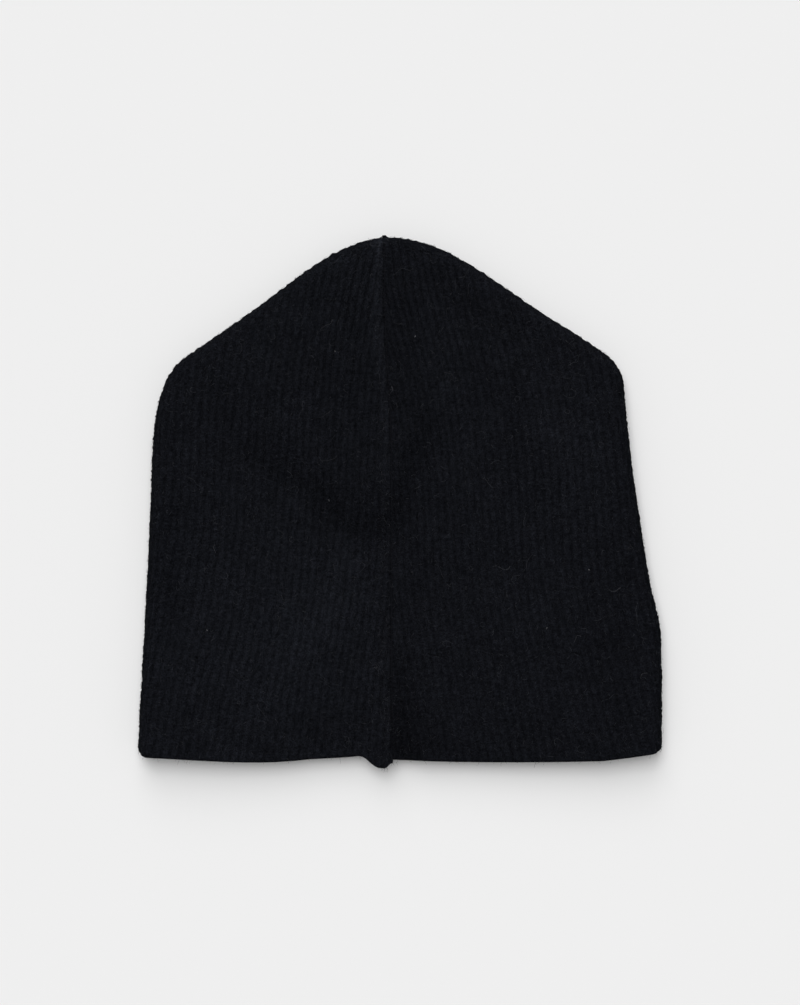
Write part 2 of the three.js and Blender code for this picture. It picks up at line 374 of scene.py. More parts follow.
def across_section(width, slope, flat_columns, fold_columns):
    """Distance from the inner edge, and how far the cloth itself has run by there."""
    lean = np.sqrt(1 + slope**2)
    fold_width = width * (1 - np.exp(-FOLD * lean / np.maximum(width, 1e-3)))
    flat = width - fold_width
    shrink = np.clip(flat / 12, 0, 1)
    first = shrink[:, None] * np.array(EDGE_STEPS)[None, :]
    share = np.linspace(0, 1, flat_columns + 1)[1:]
    rest = first[:, -1:] + (flat[:, None] - first[:, -1:]) * share[None, :]
    angles = np.linspace(0, math.pi / 2, fold_columns + 1)[1:]
    turned = flat[:, None] + fold_width[:, None] * np.sin(angles)[None, :]
    off = np.concatenate([first, rest, turned], axis=1)
    level = np.zeros((len(width), first.shape[1] + rest.shape[1]))
    angle = np.concatenate([level, np.tile(angles, (len(width), 1))], axis=1)
    extra = (math.pi / 4) * (fold_width + MID_Z) - fold_width
    return off, off + angle / (math.pi / 2) * extra[:, None]


def grid_normals(points):
    """The unit normals of a grid of points, and how narrow each of its cells is."""
    across = np.gradient(points, axis=1)
    up = np.gradient(points, axis=0)
    normal = np.cross(across, up)
    area = np.maximum(np.linalg.norm(normal, axis=2), 1e-9)
    longest = np.maximum(np.linalg.norm(across, axis=2), np.linalg.norm(up, axis=2))
    return normal / area[:, :, None], area / np.maximum(longest, 1e-9)


class Layer:
    """One layer of one panel: the points of its outer and inner sides, row by row."""

    def __init__(self, side, front, step, flat_columns, fold_columns):
        self.side, self.front = side, front
        outline = OUTLINES[side]
        heights = self.rows(outline, step)
        fold = outline.fold_x(heights)
        inner_edge = self.inner_edge(heights)
        seam = seam_x(heights)
        width = np.abs(fold - inner_edge)
        slope = outline.fold_slope(heights)
        off, arc = across_section(width, slope, flat_columns, fold_columns)
        h = np.tile(heights[:, None], (1, off.shape[1]))
        x = inner_edge[:, None] + side * off
        whole = np.abs(fold - seam)[:, None]
        plan = np.abs(x - seam[:, None])
        upright = 1 / (1 + np.exp((heights - SHOULDER) / 4))[:, None]
        around = self.round_the_fold(plan, arc - off, whole, upright)
        rise = outline.rise(x, h, np.abs(fold[:, None] - x))
        y = HEM_Y + h + (outline.hem(x, front) + HEM_FUZZ) * np.exp(-((h / 15) ** 2))
        base = np.stack([x, y, self.height(x, h, rise)], axis=2)
        normal, narrow = grid_normals(base)
        normal = normal * (-1 if front else 1) * side
        grain = RNG.normal(0, GRAIN, h.shape) * np.clip(narrow / np.median(narrow), 0, 1.5)
        if not front:
            base[:, :, 2] += seam_ridge(plan, h, side) * rise
        sideways = 1 - np.abs(normal[:, :, 2])
        self.build(base, normal, h, around, off, sideways, grain)
        if front:
            for name in ("outer", "inner", "normal", "shade", "painted_light_and_nap"):
                setattr(self, name, getattr(self, name)[:, ::-1])

    def rows(self, outline, step):
        rows = row_heights(outline.top, step)
        if not self.front:
            return rows
        reach = FACE_REACH[1]
        around = FACE_HEIGHT - reach * np.cos(np.linspace(0, math.pi, 130))
        outside = rows[np.abs(rows - FACE_HEIGHT) > reach + 0.2]
        return np.sort(np.concatenate([outside, around]))

    def inner_edge(self, heights):
        """x of the panel's edge at the centre seam, or at the face opening."""
        edge = seam_x(heights) + self.side * TOUCH
        if not self.front:
            return edge
        inside = np.clip(1 - ((heights - FACE_HEIGHT) / FACE_REACH[1]) ** 2, 0, 1)
        oval = FACE_X + self.side * FACE_REACH[0] * np.sqrt(inside)
        outer = self.side * np.maximum(self.side * edge, self.side * oval)
        return np.where(inside > 0, outer, edge)

    def round_the_fold(self, plan, extra, whole, upright):
        """Distance along the cloth from the back seam, by which the ribs are counted."""
        if not self.front:
            return plan + upright * extra
        beyond = whole + 2 * extra.max(axis=1, keepdims=True) + (whole - plan) - extra
        return upright * beyond + (1 - upright) * plan

    def linked(self, h):
        """1 where the panel's inner edge is linked to the other panel, 0 at the face."""
        if not self.front:
            return 1.0
        return (np.abs(h - FACE_HEIGHT) > FACE_REACH[1] + 1).astype(float)

    def height(self, x, h, rise):
        if self.front:
            return MID_Z - MID_Z * rise
        return MID_Z + (MID_Z + relief(x, h)) * rise

    def build(self, base, normal, h, around, off, sideways, grain):
        place = rib_place(around, h) + wobble(base[:, :, 0], h)
        ridge, stitch = knit(place, h / COURSE)
        seam_round = HEM_ROUND if self.front else SEAM_ROUND[self.side]
        pressed = 0.6 * self.linked(h)
        curl = edge_curl(h, HEM_ROUND) * (pressed + (1 - pressed) * edge_curl(off, seam_round))
        sunk = RIB_DEPTH * (1 - ridge) + STITCH_DEPTH * (1 - stitch) * (0.35 + 0.65 * ridge)
        sunk *= 1 - 0.45 * sideways**2
        half = FABRIC / 2
        outer = (grain - sunk) * curl - half * (1 - curl) + PROUD * sideways**2
        inner = -FABRIC + half * (1 - curl) + 0.75 * RIB_DEPTH * ridge * curl
        self.outer = base + normal * outer[:, :, None]
        self.inner = base + normal * inner[:, :, None]
        if self.front:
            self.outer[:, :, 2] = np.maximum(self.outer[:, :, 2], 0.02)
        self.normal = normal
        # painted shade: the wool is coloured darker in the grooves between ribs and stitches and
        # round the curled cut edges
        self.shade = np.clip(ridge * (0.6 + 0.4 * stitch), 0, 1) * curl
        # painted light and shade over the folds and swellings, and painted shade where the layer
        # turns down at the folds
        self.painted_light_and_nap = painted_light_and_nap(base[:, :, 0], h) if not self.front else np.ones(h.shape)
        self.painted_light_and_nap = self.painted_light_and_nap * (1 - PAINTED_FOLD_SHADE * sideways)


# ---------------------------------------------------------------- making meshes


def add_mesh(name, points, faces, material):
    """A smooth piece in its material, riding on the one body. Points are in millimetres."""
    mesh = bpy.data.meshes.new(name)
    mesh.from_pydata((np.asarray(points) * MM).tolist(), [], faces)
    mesh.update()
    mesh.polygons.foreach_set("use_smooth", [True] * len(mesh.polygons))
    piece = bpy.data.objects.new(name, mesh)
    bpy.context.scene.collection.objects.link(piece)
    piece.data.materials.append(material)
    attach(piece, "root")
    return piece


def add_attribute(piece, name, values):
    values = np.ascontiguousarray(values, dtype=np.float32)
    piece.data.attributes.new(name, "FLOAT", "POINT").data.foreach_set("value", values)


def inner_rows(count):
    """The rows that the plainer inside of a layer keeps."""
    middle = list(range(8, count - 20, 7))
    return list(range(8)) + middle + list(range(count - 20, count - 1, 3)) + [count - 1]


def grid_faces(rows, columns, first, turned):
    """The quads of a grid whose points start at `first`, facing the other way if turned."""
    i, j = np.meshgrid(np.arange(rows - 1), np.arange(columns - 1), indexing="ij")
    corner = (first + i * columns + j).ravel()
    quads = np.stack([corner, corner + 1, corner + 1 + columns, corner + columns], axis=1)
    return (quads[:, ::-1] if turned else quads).tolist()


def layer_faces(rows, columns, kept, turned):
    """Outer grid, inner grid on the kept rows, and the four edges between them."""
    start = rows * columns
    last = columns - 1
    faces = grid_faces(rows, columns, 0, turned)
    faces += grid_faces(len(kept), columns, start, not turned)
    edges = []
    for j in range(last):
        top = (rows - 1) * columns + j
        inside = start + (len(kept) - 1) * columns + j
        edges.append([j + 1, j, start + j, start + j + 1])
        edges.append([top, top + 1, inside + 1, inside])
    for k in range(len(kept) - 1):
        run = [row * columns for row in range(kept[k], kept[k + 1] + 1)]
        near = start + k * columns
        far = near + columns
        edges.append(run + [far, near])
        edges.append([near + last, far + last] + [row + last for row in reversed(run)])
    return faces + ([face[::-1] for face in edges] if turned else edges)


def knit_piece(name, layer, material, node):
    rows, columns = layer.outer.shape[:2]
    kept = inner_rows(rows)
    points = np.concatenate([layer.outer.reshape(-1, 3), layer.inner[kept].reshape(-1, 3)])
    faces = layer_faces(rows, columns, kept, layer.side == LEFT)
    piece = add_mesh(name, points, faces, material)
    piece.data.set_sharp_from_angle(angle=math.radians(80))
    inside = len(kept) * columns
    # painted shade between the ribs, and painted light and shade over the folds; the inside takes
    # middle values
    add_attribute(piece, "painted_groove_shade", np.append(layer.shade.ravel(), np.full(inside, 0.5)))
    add_attribute(piece, "painted_light_level", np.append(layer.painted_light_and_nap.ravel(), np.full(inside, 0.9)))
    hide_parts(node)
    return piece


def lengths_along(path):
    """How far along a path each of its points is."""
    steps = np.linalg.norm(np.diff(path, axis=0), axis=1)
    return np.concatenate([[0], np.cumsum(steps)])


def resampled(path, count):
    """`count` points at equal steps along a path."""
    lengths = lengths_along(path)
    places = np.linspace(0, lengths[-1], count)
    return np.stack([np.interp(places, lengths, path[:, k]) for k in range(3)], axis=1)


def path_length(path):
    return np.linalg.norm(np.diff(path, axis=0), axis=1).sum()


def unit(vectors):
    return vectors / np.maximum(np.linalg.norm(vectors, axis=-1, keepdims=True), 1e-9)


def tube(path, radius, sides, closed=False):
    """Points and faces of a thin tube along a path, with flat ends unless it is closed."""
    path = np.asarray(path, float)
    count = len(path)
    if closed:
        along = np.roll(path, -1, axis=0) - np.roll(path, 1, axis=0)
    else:
        along = np.gradient(path, axis=0)
    along = unit(along)
    first = unit(np.cross(along, np.array([0.13, 0.21, 0.97])))
    second = np.cross(along, first)
    turn = (np.arange(sides) * 2 * math.pi / sides)[None, :, None]
    ring = first[:, None] * np.cos(turn) + second[:, None] * np.sin(turn)
    radii = np.broadcast_to(radius, count)
    points = (path[:, None] + radii[:, None, None] * ring).reshape(-1, 3)
    faces = []
    for i in range(count if closed else count - 1):
        here, there = i * sides, ((i + 1) % count) * sides
        for k in range(sides):
            after = (k + 1) % sides
            faces.append([here + k, here + after, there + after, there + k])
    if not closed:
        faces.append(list(range(sides))[::-1])
        faces.append([(count - 1) * sides + k for k in range(sides)])
    return points, faces


def joined(parts):
    """Several (points, faces) pairs as one."""
    points, faces, first = [], [], 0
    for part_points, part_faces in parts:
        points.append(part_points)
        faces += [[first + v for v in face] for face in part_faces]
        first += len(part_points)
    return np.concatenate(points), faces


def chain(path, ups, width, yarn=YARN, pitch=COURSE):
    """Linked loops along a path, each tucked under the next. `ups` are its normals."""
    count = max(2, int(round(path_length(path) / pitch)) + 1)
    places = resampled(path, count)
    share = np.linspace(0, len(ups) - 1, count).round().astype(int)
    lifts = ups[share]
    turn = (np.arange(10) * 2 * math.pi / 10)[:, None]
    links = []
    for i in range(count - 1):
        step = places[i + 1] - places[i]
        along = unit(step)
        up = unit(lifts[i] - along * (lifts[i] @ along))
        across = np.cross(along, up)
        middle = (places[i] + places[i + 1]) / 2
        loop = middle + np.cos(turn) * (0.72 * step + yarn * 0.9 * up)
        loop = loop + np.sin(turn) * across * width / 2
        links.append(tube(loop, yarn, 5, closed=True))
    return joined(links)


# ---------------------------------------------------------------- materials


def new_material(name):
    material = bpy.data.materials.new(name)
    material.use_nodes = True
    nodes, links = material.node_tree.nodes, material.node_tree.links
    nodes.clear()
    output = nodes.new("ShaderNodeOutputMaterial")
    shader = nodes.new("ShaderNodeBsdfPrincipled")
    links.new(shader.outputs["BSDF"], output.inputs["Surface"])
    shader.inputs["Metallic"].default_value = 0.0
    return material, nodes, links, shader


def object_place(nodes):
    return nodes.new("ShaderNodeTexCoord").outputs["Object"]


def noise(nodes, links, place, size, detail=2.0, roughness=0.6):
    """Noise whose blotches are about `size` millimetres across."""
    node = nodes.new("ShaderNodeTexNoise")
    node.inputs["Scale"].default_value = 1 / (size * MM)
    node.inputs["Detail"].default_value = detail
    node.inputs["Roughness"].default_value = roughness
    links.new(place, node.inputs["Vector"])
    return node.outputs["Fac"]


def mapped(nodes, links, value, low, high, to_low=0.0, to_high=1.0):
    node = nodes.new("ShaderNodeMapRange")
    node.inputs["From Min"].default_value = low
    node.inputs["From Max"].default_value = high
    node.inputs["To Min"].default_value = to_low
    node.inputs["To Max"].default_value = to_high
    links.new(value, node.inputs["Value"])
    return node.outputs["Result"]


def times(nodes, links, first, second):
    node = nodes.new("ShaderNodeMath")
    node.operation = "MULTIPLY"
    links.new(first, node.inputs[0])
    links.new(second, node.inputs[1])
    return node.outputs["Value"]


def attribute(nodes, name):
    node = nodes.new("ShaderNodeAttribute")
    node.attribute_name = name
    return node.outputs["Fac"]


def tinted(nodes, links, tint, level):
    """A colour scaled by a varying level."""
    node = nodes.new("ShaderNodeVectorMath")
    node.operation = "SCALE"
    node.inputs[0].default_value = tint
    links.new(level, node.inputs["Scale"])
    return node.outputs["Vector"]


def add_bump(nodes, links, shader, height, strength, distance):
    node = nodes.new("ShaderNodeBump")
    node.inputs["Strength"].default_value = strength
    node.inputs["Distance"].default_value = distance * MM
    links.new(height, node.inputs["Height"])
    links.new(node.outputs["Normal"], shader.inputs["Normal"])


def soft_finish(shader, gloss=0.02):
    """The dull surface of brushed wool."""
    shader.inputs["Roughness"].default_value = 1.0
    shader.inputs["Specular IOR Level"].default_value = gloss


def wool_material(name, tint, knitted):
    """Brushed wool, felted and flecked all over; where knitted, with painted shade between the
    ribs and painted light and shade over the folds.
    """
    material, nodes, links, shader = new_material(name)
    place = object_place(nodes)
    flecks = mapped(nodes, links, noise(nodes, links, place, 0.8, 3, 0.75), 0.35, 0.67, 0.22, 2.0)
    tufts = mapped(nodes, links, noise(nodes, links, place, 3.4, 2), 0.34, 0.66, 0.78, 1.22)
    patches = mapped(nodes, links, noise(nodes, links, place, 11, 2), 0.34, 0.66, 0.91, 1.09)
    level = times(nodes, links, times(nodes, links, flecks, tufts), patches)
    if knitted:
        # painted shade in the grooves between the ribs, then painted light and shade over the
        # folds
        ribs = mapped(nodes, links, attribute(nodes, "painted_groove_shade"), 0.1, 0.9, 0.8, 1.13)
        level = times(nodes, links, level, ribs)
        level = times(nodes, links, level, attribute(nodes, "painted_light_level"))
    links.new(tinted(nodes, links, tint, level), shader.inputs["Base Color"])
    fibre = noise(nodes, links, place, 0.42, 3, 0.8)
    add_bump(nodes, links, shader, fibre, 0.8, 0.55)
    soft_finish(shader)
    return material


def thread_material(name, tint):
    """Plied yarn with fine twisted streaks."""
    material, nodes, links, shader = new_material(name)
    place = object_place(nodes)
    streaks = mapped(nodes, links, noise(nodes, links, place, 0.5, 2), 0.35, 0.65, 0.6, 1.5)
    links.new(tinted(nodes, links, tint, streaks), shader.inputs["Base Color"])
    add_bump(nodes, links, shader, noise(nodes, links, place, 0.3, 2), 0.4, 0.15)
    soft_finish(shader)
    return material


def satin_material(name, tint):
    """Woven satin ribbon with a fine crosswise weave."""
    material, nodes, links, shader = new_material(name)
    weave = nodes.new("ShaderNodeTexWave")
    weave.bands_direction = "Y"
    weave.inputs["Scale"].default_value = 700
    weave.inputs["Distortion"].default_value = 0.6
    links.new(object_place(nodes), weave.inputs["Vector"])
    level = mapped(nodes, links, weave.outputs["Fac"], 0, 1, 0.75, 1.3)
    links.new(tinted(nodes, links, tint, level), shader.inputs["Base Color"])
    add_bump(nodes, links, shader, weave.outputs["Fac"], 0.3, 0.1)
    shader.inputs["Roughness"].default_value = 0.42
    return material


def fibre_material(name, colour):
    """One shade of loose fibre. The fibres differ by shade from one to the next."""
    material, _, _, shader = new_material(name)
    shader.inputs["Base Color"].default_value = colour
    soft_finish(shader)
    return material


def floor_material():
    material, _, _, shader = new_material("pale_floor")
    shader.inputs["Base Color"].default_value = FLOOR_COLOUR
    shader.inputs["Roughness"].default_value = 1.0
    shader.inputs["Specular IOR Level"].default_value = 0.0
    return material


# ---------------------------------------------------------------- panels


def make_panels(material):
    """The four knitted layers and their pieces, by (side, front)."""
    layers = {}
    for side, name in ((LEFT, "left_panel"), (RIGHT, "right_panel")):
        back = Layer(side, False, *BACK_GRID)
        front = Layer(side, True, *FRONT_GRID)
        layers[side, False] = back, knit_piece(name + "_back_layer", back, material, name)
        layers[side, True] = front, knit_piece(name + "_front_layer", front, material, name)
    return layers


# ---------------------------------------------------------------- seams


def seam_path(layers, front, low, high):
    """The line between two panels' rolled edges, with its outward normals."""
    column = -4 if front else 3
    sides = []
    for side in (LEFT, RIGHT):
        layer = layers[side, front][0]
        height = layer.outer[:, column, 1] - HEM_Y
        wanted = (height > low) & (height < high)
        sides.append((layer.outer[wanted, column], layer.normal[wanted, column]))
    count = 160
    points = (resampled(sides[0][0], count) + resampled(sides[1][0], count)) / 2
    normals = sides[0][1][np.linspace(0, len(sides[0][1]) - 1, count).astype(int)]
    return points - normals * YARN, normals


def make_seam(name, layers, front, low, high, material):
    path, normals = seam_path(layers, front, low, high)
    points, faces = chain(path, normals, 1.9)
    if front:
        points[:, 2] = np.maximum(points[:, 2], 0.02)
    piece = add_mesh(name + "_loops", points, faces, material)
    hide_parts(name)
    return piece


# ---------------------------------------------------------------- face band


def band_turns(count, gap):
    """Angles at equal steps round the band's oval, from one end at the chin to the other."""
    fine = np.linspace(-math.pi / 2, 1.5 * math.pi, 4001)
    reach = band_reach(0)
    path = np.stack([reach[0] * np.cos(fine), reach[1] * np.sin(fine), 0 * fine], axis=1)
    lengths = lengths_along(path)
    places = np.linspace(gap / 2, lengths[-1] - gap / 2, count)
    return np.interp(places, lengths, fine)


def band_centre():
    low, high = (np.array(corner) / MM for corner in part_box("face_band"))
    return (low + high) / 2, (high - low) / 2


def band_reach(out):
    """Half sizes of the oval that runs `out` from the middle of the band's width."""
    half = band_centre()[1]
    return half[0] - BAND_WIDTH / 2 + out, half[1] - BAND_WIDTH / 2 + out


def band_point(turn, out, up):
    """A point on the band: its turn round the oval, and how far out and up it is."""
    centre = band_centre()[0]
    reach = band_reach(out)
    x = centre[0] + reach[0] * np.cos(turn)
    y = centre[1] + reach[1] * np.sin(turn)
    return np.stack(np.broadcast_arrays(x, y, centre[2] + up), axis=-1)


def make_band(material):
    """The doubled rib band round the face opening, with its fold at the inner edge."""
    turns = band_turns(BAND_RIBS * 8 + 1, 0.5)
    section = np.linspace(0, 2 * math.pi, 26, endpoint=False)
    flat = np.where(np.cos(section) > 0, 0.42, 0.62)
    out = BAND_WIDTH / 2 * np.sign(np.cos(section)) * np.abs(np.cos(section)) ** flat
    up = BAND_THICKNESS / 2 * np.sign(np.sin(section)) * np.abs(np.sin(section)) ** 0.5
    base = band_point(turns[:, None], out[None, :], up[None, :])
    place = np.linspace(0, BAND_RIBS, len(turns))[:, None] + 0 * out[None, :]
    rows = (out[None, :] + 0 * turns[:, None]) / COURSE
    ridge, stitch = knit(place, rows)
    wrapped = np.concatenate([base[:, -1:], base, base[:, :1]], axis=1)
    normal = -grid_normals(wrapped)[0][:, 1:-1]
    sunk = 0.75 * (1 - ridge) + 0.25 * (1 - stitch) + RNG.normal(0, 0.06, ridge.shape)
    points = base - normal * sunk[:, :, None]
    points[:, :, 2] = np.maximum(points[:, :, 2], 0.02)
    rows_count, columns = points.shape[:2]
    faces = []
    for i in range(rows_count - 1):
        for j in range(columns):
            here, after = i * columns + j, i * columns + (j + 1) % columns
            faces.append([here, here + columns, after + columns, after])
    faces.append(list(range(columns)))
    faces.append([(rows_count - 1) * columns + j for j in reversed(range(columns))])
    piece = add_mesh("face_band_ribs", points.reshape(-1, 3), faces, material)
    # painted shade in the grooves between the band's ribs
    add_attribute(piece, "painted_groove_shade", (ridge * (0.6 + 0.4 * stitch)).ravel())
    add_attribute(piece, "painted_light_level", np.full(ridge.size, 1.0))
    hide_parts("face_band")
    return piece


def make_band_seam(material):
    """Two rows of loops that link the band to the panels' cut edge, one on each face."""
    turns = band_turns(600, 2.0)
    rings = []
    for up in (-1, 1):
        path = band_point(turns, BAND_WIDTH / 2 + 0.9, up * 1.35)
        rings.append(chain(path, np.tile([0.0, 0.0, up], (len(path), 1)), 1.8))
    points, faces = joined(rings)
    points[:, 2] = np.maximum(points[:, 2], 0.02)
    piece = add_mesh("face_band_seam_loops", points, faces, material)
    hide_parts("face_band_seam_thread")
    return piece


def make_band_join(material):
    """The loops across the band where its two ends meet, under the chin."""
    rows = []
    for up in (-1, 1):
        out = np.linspace(-BAND_WIDTH / 2 + 0.4, BAND_WIDTH / 2 - 0.4, 20)
        path = band_point(np.full(20, -math.pi / 2), out, up * (BAND_THICKNESS / 2 - 0.55))
        rows.append(chain(path, np.tile([0.0, 0.0, up], (20, 1)), 1.7, yarn=0.25, pitch=2.2))
    points, faces = joined(rows)
    points[:, 2] = np.maximum(points[:, 2], 0.02)
    piece = add_mesh("face_band_join_loops", points, faces, material)
    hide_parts("face_band_join_thread")
    return piece


# ---------------------------------------------------------------- small pieces


def make_knot(material):
    """The tied end of the back seam's thread, at the crown, with its two cut ends."""
    low, high = (np.array(corner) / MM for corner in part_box("crown_thread_knot"))
    middle = (low + high) / 2 - np.array([0.0, KNOT_SINKS, 0.0])
    size = 1.5 * (high[0] - low[0]) / 2
    turn = np.linspace(0, 2 * math.pi, 36, endpoint=False)
    around = size * (0.62 + 0.38 * np.cos(3 * turn))
    knot = np.stack(
        [around * np.cos(2 * turn), 0.55 * size * np.sin(3 * turn), around * np.sin(2 * turn)],
        axis=1,
    )
    parts = [tube(middle + knot, KNOT_YARN, 6, closed=True)]
    share = np.linspace(0, 1, 7)
    for way in (-1, 1):
        end = np.stack([way * 2.8 * share, 0.3 * share - 1.4 * share**2, 1.6 * share], axis=1)
        parts.append(tube(middle + end, 0.36 - 0.14 * share, 5))
    points, faces = joined(parts)
    piece = add_mesh("crown_thread_knot_tied", points, faces, material)
    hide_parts("crown_thread_knot")
    return piece


def under_back_layer(x, y, gap):
    """A height just below the inner side of the back layer."""
    return 2 * MID_Z + relief(x, y - HEM_Y) - FABRIC - gap


def make_label(material):
    """A blank satin care label, held along its top edge and curling a little below it."""
    low, high = (np.array(corner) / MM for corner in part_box("care_label"))
    columns, rows = 21, 36
    x = np.linspace(low[0], high[0], columns)[None, :] + np.zeros((rows, 1))
    y = np.linspace(high[1], low[1], rows)[:, None] + np.zeros((1, columns))
    free = (high[1] - y) / (high[1] - low[1])
    curl = 1.1 * free**2 + 0.5 * free * np.sin((x - low[0]) / 5.0 + 2 * free)
    top = under_back_layer(x, y, 0.35) - curl
    thickness = (high - low)[2] * 0.5
    upper = np.stack([x, y, top], axis=2)
    lower = np.stack([x, y, top - thickness], axis=2)
    points = np.concatenate([upper.reshape(-1, 3), lower.reshape(-1, 3)])
    size = rows * columns
    faces = grid_faces(rows, columns, 0, True) + grid_faces(rows, columns, size, False)
    for j in range(columns - 1):
        end = (rows - 1) * columns + j
        faces.append([j, j + 1, size + j + 1, size + j])
        faces.append([end + 1, end, size + end, size + end + 1])
    for i in range(rows - 1):
        here, there = i * columns, (i + 1) * columns
        right = columns - 1
        faces.append([there, here, size + here, size + there])
        faces.append([here + right, there + right, size + there + right, size + here + right])
    piece = add_mesh("care_label_satin", points, faces, material)
    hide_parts("care_label")
    return piece


def make_label_stitches(material):
    """A row of lock stitches along the label's top edge."""
    low, high = (np.array(corner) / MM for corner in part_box("care_label_stitches"))
    count = 9
    pitch = (high[0] - low[0]) / count
    y = (low[1] + high[1]) / 2
    parts = []
    for i in range(count):
        share = np.linspace(0, 1, 6)
        x = low[0] + pitch * (i + 0.08 + 0.84 * share)
        dip = 0.55 * (2 * share - 1) ** 4
        z = under_back_layer(x, y, 0.35) - 0.65 + dip
        parts.append(tube(np.stack([x, 0 * x + y, z], axis=1), 0.16, 6))
    points, faces = joined(parts)
    piece = add_mesh("care_label_lock_stitches", points, faces, material)
    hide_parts("care_label_stitches")
    return piece


# ---------------------------------------------------------------- loose fibres


def random_places(layer, count, columns):
    """Random points spread evenly over a layer's outer side, with their normals."""
    low, high = columns
    corner = layer.outer[:-1, low:high]
    across = layer.outer[:-1, low + 1 : high + 1] - corner
    up = layer.outer[1:, low:high] - corner
    area = (np.linalg.norm(across, axis=2) * np.linalg.norm(up, axis=2)).ravel()
    cells = RNG.choice(area.size, count, p=area / area.sum())
    i, j = np.divmod(cells, high - low)
    start = corner[i, j] + RNG.random((count, 1)) * across[i, j]
    start = start + RNG.random((count, 1)) * up[i, j]
    return start, layer.normal[i, j + low]


def fibre_paths(start, normal, lengths, steps, curl, lift):
    """Curving paths that lie on the surface, lifting off it a little between their ends."""
    count = len(start)
    along = unit(np.cross(normal, unit(RNG.normal(size=(count, 3)))))
    bend = RNG.normal(0, curl, (count, 1))
    paths = np.empty((count, steps + 1, 3))
    paths[:, 0] = start
    step = (lengths / steps)[:, None]
    for k in range(steps):
        across = np.cross(normal, along)
        bend = 0.75 * bend + RNG.normal(0, curl * 0.7, (count, 1))
        along = unit(along + across * bend)
        paths[:, k + 1] = paths[:, k] + along * step
    rise = np.sin(np.linspace(0.15, 1.0, steps + 1) * math.pi * 0.8)
    paths += normal[:, None] * (lift[:, None] * rise[None, :])[:, :, None]
    return paths


def fibre_mesh(paths, radius):
    """Three-sided tubes for many paths at once."""
    count, steps = paths.shape[:2]
    along = unit(np.gradient(paths, axis=1))
    first = unit(np.cross(along, np.array([0.13, 0.21, 0.97])))
    second = np.cross(along, first)
    turn = np.arange(3) * 2 * math.pi / 3
    taper = np.linspace(1, 0.45, steps)[None, :, None, None]
    thin = taper * np.asarray(radius)[:, None, None, None]
    ring = first[:, :, None] * np.cos(turn)[None, None, :, None]
    ring = ring + second[:, :, None] * np.sin(turn)[None, None, :, None]
    points = (paths[:, :, None] + thin * ring).reshape(-1, 3)
    base = (np.arange(count) * steps * 3)[:, None]
    faces = []
    for i in range(steps - 1):
        for k in range(3):
            here, after = i * 3 + k, i * 3 + (k + 1) % 3
            faces += (base + np.array([[here, after, after + 3, here + 3]])).tolist()
    last = (steps - 1) * 3
    faces += (base + np.array([[2, 1, 0]])).tolist()
    faces += (base + np.array([[last, last + 1, last + 2]])).tolist()
    fibre_of_face = np.tile(np.arange(count), (steps - 1) * 3 + 2)
    return points, faces, fibre_of_face


def add_fibres(name, groups, materials):
    """One piece of loose fibres. A group is (paths, radii, shade of each fibre)."""
    parts, shades = [], []
    for paths, radii, shade in groups:
        points, faces, owner = fibre_mesh(paths, radii)
        parts.append((points, faces))
        shades.append(np.asarray(shade)[owner])
    points, faces = joined(parts)
    points[:, 2] = np.maximum(points[:, 2], 0.02)
    piece = add_mesh(name, points, faces, materials[0])
    for material in materials[1:]:
        piece.data.materials.append(material)
    piece.data.polygons.foreach_set("material_index", np.concatenate(shades).astype(np.int32))
    return piece


def make_fuzz(layers, materials):
    """Short fibres all over the upper side and the folds, and more beside the seam."""
    pieces = {}
    for side, name in ((LEFT, "left"), (RIGHT, "right")):
        back, front = layers[side, False][0], layers[side, True][0]
        columns = back.outer.shape[1]
        groups = []
        for layer, count, span in (
            (back, BACK_FIBRES, (4, columns - 2)),
            (front, FOLD_FIBRES, (1, 1 + FRONT_GRID[2])),
            (back, SEAM_FIBRES[side], (0, 10)),
        ):
            start, normal = random_places(layer, count, span)
            lengths = RNG.uniform(1.2, 3.6, count)
            lift = RNG.gamma(2.0, 0.16, count) + 0.05
            shade = RNG.choice(3, count, p=(0.55, 0.37, 0.08))
            paths = fibre_paths(start, normal, lengths, 2, 0.8, lift)
            groups.append((paths, RNG.uniform(0.045, 0.08, count), shade))
        pieces[side] = add_fibres(name + "_panel_fuzz", groups, materials)
    return pieces


def make_curly_fibres(layers, materials):
    """Long stray hairs and a few specks of lint."""
    groups = []
    for side in (LEFT, RIGHT):
        back = layers[side, False][0]
        span = (3, back.outer.shape[1] - 12)
        start, normal = random_places(back, CURLY_FIBRES // 2, span)
        count = len(start)
        lengths = RNG.uniform(4, 14, count)
        paths = fibre_paths(start, normal, lengths, 12, 0.35, RNG.uniform(0.3, 0.8, count))
        groups.append((paths, RNG.uniform(0.05, 0.085, count), RNG.choice([1, 2, 2], count)))
        start, normal = random_places(back, BRIGHT_HAIRS // 2, span)
        count = len(start)
        lengths = RNG.uniform(3, 12, count)
        paths = fibre_paths(start, normal, lengths, 12, 0.3, RNG.uniform(0.3, 0.9, count))
        groups.append((paths, RNG.uniform(0.05, 0.09, count), np.full(count, 3)))
        start, normal = random_places(back, LINT // 2, span)
        count = len(start)
        paths = fibre_paths(start, normal, np.full(count, 1.6), 6, 1.6, np.full(count, 0.4))
        groups.append((paths, np.full(count, 0.12), np.full(count, 4)))
    return add_fibres("stray_hairs", groups, materials)


# ---------------------------------------------------------------- cloth facts


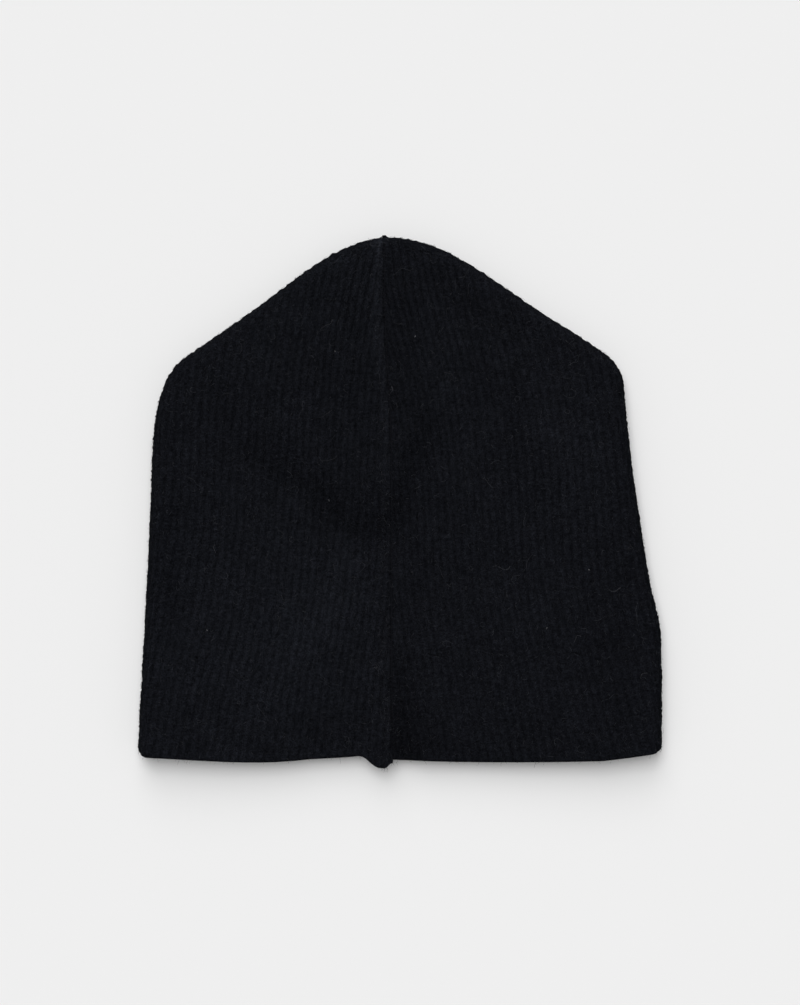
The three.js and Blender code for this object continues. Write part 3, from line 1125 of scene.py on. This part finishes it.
def flat_area(side, front):
    """Size and area of one layer of a panel as cut, in metres: half the laid-out outline."""
    outline = OUTLINES[side]
    heights = np.linspace(0, outline.top, 400)
    turned = math.pi / 4 * (FOLD + MID_Z) - FOLD
    widths = np.abs(outline.fold_x(heights) - seam_x(heights)) + turned
    if front:
        inside = np.clip(1 - ((heights - FACE_HEIGHT) / FACE_REACH[1]) ** 2, 0, 1)
        widths = widths - FACE_REACH[0] * np.sqrt(inside)
    area = widths.mean() * outline.top
    return (widths.max() * MM, outline.top * MM), area * MM * MM


def declare_cloth(layers):
    for (side, front), (layer, piece) in layers.items():
        size, area = flat_area(side, front)
    around = path_length(band_point(band_turns(800, 2.0), 0.0, 0.0)) * MM


# ---------------------------------------------------------------- stage


def make_camera():
    """Straight above the middle, with a long lens."""
    lens, sensor = 85.0, 36.0
    seen_height = 0.5765  # how much of the garment's plane the frame is high, in metres
    data = bpy.data.cameras.new("camera")
    data.lens, data.sensor_width = lens, sensor
    data.clip_end = 20
    camera = bpy.data.objects.new("camera", data)
    camera.location = (0.0, -0.0004, seen_height * lens / sensor + MID_Z * MM)
    bpy.context.scene.collection.objects.link(camera)
    bpy.context.scene.camera = camera


def make_floor():
    size = 8.0
    mesh = bpy.data.meshes.new("floor")
    corners = [(-size, -size, 0), (size, -size, 0), (size, size, 0), (-size, size, 0)]
    mesh.from_pydata(corners, [], [(0, 1, 2, 3)])
    floor = bpy.data.objects.new("floor", mesh)
    bpy.context.scene.collection.objects.link(floor)
    floor.data.materials.append(floor_material())


def make_lamp(name, energy, toward):
    """A very large soft lamp in the given direction."""
    lamp = bpy.data.lights.new(name, "SUN")
    lamp.energy = energy
    lamp.angle = math.radians(44)
    holder = bpy.data.objects.new(name, lamp)
    holder.rotation_euler = Vector(toward).to_track_quat("Z", "Y").to_euler()
    bpy.context.scene.collection.objects.link(holder)


def make_lights():
    """Two soft lamps beyond the crown, one high and one low, and an even pale surround."""
    scene = bpy.context.scene
    scene.view_settings.view_transform = "Standard"
    world = bpy.data.worlds.new("surround")
    world.use_nodes = True
    world.node_tree.nodes["Background"].inputs["Color"].default_value = (1, 1, 1, 1)
    world.node_tree.nodes["Background"].inputs["Strength"].default_value = 0.3
    scene.world = world
    make_lamp("soft_key_high", 1.78, (-0.08, 0.28, 0.95))
    make_lamp("soft_key_low", 1.12, (-0.14, 0.8, 0.62))


make_camera()
make_floor()
make_lights()
wool = wool_material("black_wool", WOOL_TINT, knitted=True)
yarn = thread_material("linking_yarn", YARN_TINT)
sewing_thread = thread_material("sewing_thread", SEWING_TINT)
satin = satin_material("label_satin", SATIN_TINT)
fibre_shades = [fibre_material(f"fibre_{i}", colour) for i, colour in enumerate(FIBRES)]
bright_hair = fibre_material("bright_hair", HAIR_COLOUR)
lint = fibre_material("lint", LINT_COLOUR)

layers = make_panels(wool)
make_seam("centre_back_seam_thread", layers, False, 2, 298, yarn)
make_seam("forehead_seam_thread", layers, True, FACE_HEIGHT + FACE_REACH[1] + 2, 298, yarn)
make_seam("chin_seam_thread", layers, True, 3, FACE_HEIGHT - FACE_REACH[1] - 2, yarn)
band = make_band(wool)
make_band_seam(yarn)
make_band_join(yarn)
make_knot(yarn)
label = make_label(satin)
make_label_stitches(sewing_thread)
fuzz = make_fuzz(layers, fibre_shades)
make_curly_fibres(layers, fibre_shades + [bright_hair, lint])
declare_cloth(layers)
